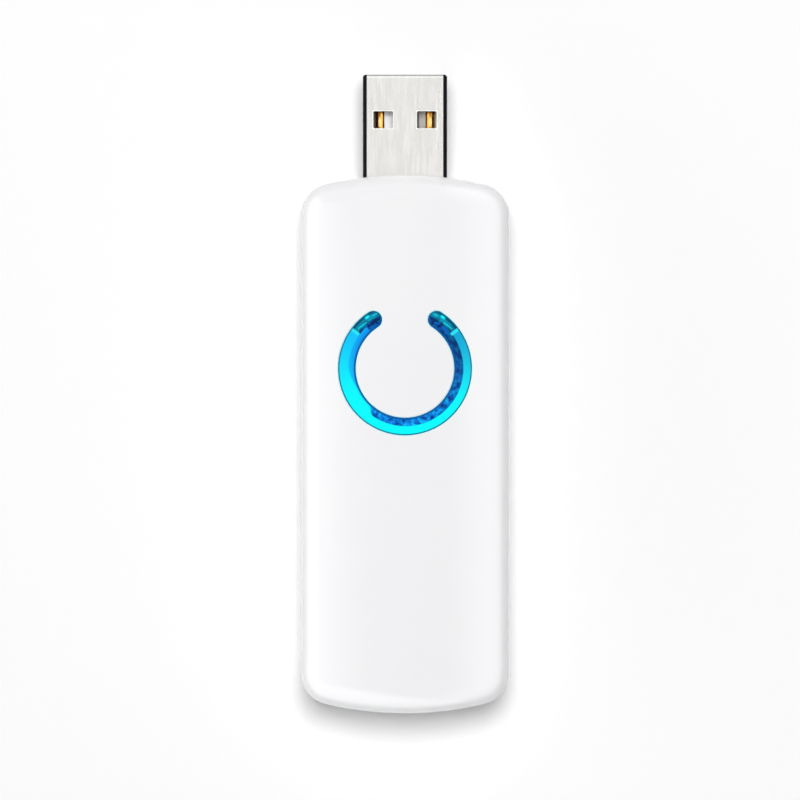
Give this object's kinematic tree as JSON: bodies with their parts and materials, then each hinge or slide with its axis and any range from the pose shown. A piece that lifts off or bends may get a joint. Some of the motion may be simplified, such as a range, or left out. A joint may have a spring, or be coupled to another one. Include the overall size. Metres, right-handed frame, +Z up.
{
  "type": "smart home usb radio stick",
  "caption": "Smart home usb radio stick: a white two-part case with a C-shaped light ring in its crowned face, a full-size usb plug, and its board, radio, antenna and cell inside.",
  "frame": {"origin": "Middle of the bounding box in X and Y, on the flat back that the stick lies on", "axes": "+X across the stick, +Y along it towards the plug, +Z up out of the front face with the light ring"},
  "size_m": [0.0296, 0.0908, 0.012],
  "materials": {
    "cover": "white glossy moulded plastic",
    "light_guide": "clear moulded plastic, lit blue and cyan from behind",
    "plug_shell": "nickel-plated folded steel",
    "insulator": "white moulded plastic",
    "contact": "gold-plated copper alloy",
    "board": "green solder mask on glass-fibre board",
    "battery": "satin aluminium-laminate pouch",
    "adhesive_pad": "double-sided foam pad",
    "tab": "nickel strip",
    "antenna": "copper-alloy strip",
    "shield_can": "tin-plated steel",
    "chip": "black moulded package",
    "choke": "dark ferrite",
    "light_chip": "white package with a clear lens",
    "capacitor": "tan ceramic with tinned ends"
  },
  "bodies": {
    "root": {"front_cover": "cover", "rear_cover": "cover", "light_ring": "light_guide", "plug_shell": "plug_shell", "plug_insulator": "insulator", "main_board": "board", "battery_cell": "battery", "battery_pad": "adhesive_pad", "battery_tab_plus": "tab", "battery_tab_minus": "tab", "antenna": "antenna", "module_board": "board", "shield_can": "shield_can", "contact_power": "contact", "contact_data_minus": "contact", "contact_data_plus": "contact", "contact_ground": "contact", "bridge_chip": "chip", "crystal": "shield_can", "regulator": "chip", "charger_chip": "chip", "inductor": "choke", "ring_light_1": "light_chip", "ring_light_2": "light_chip", "ring_light_3": "light_chip", "ring_light_4": "light_chip", "ring_light_5": "light_chip", "ring_light_6": "light_chip", "capacitor_1": "capacitor", "capacitor_2": "capacitor", "capacitor_3": "capacitor", "capacitor_4": "capacitor", "capacitor_5": "capacitor"}
  },
  "joints": []
}
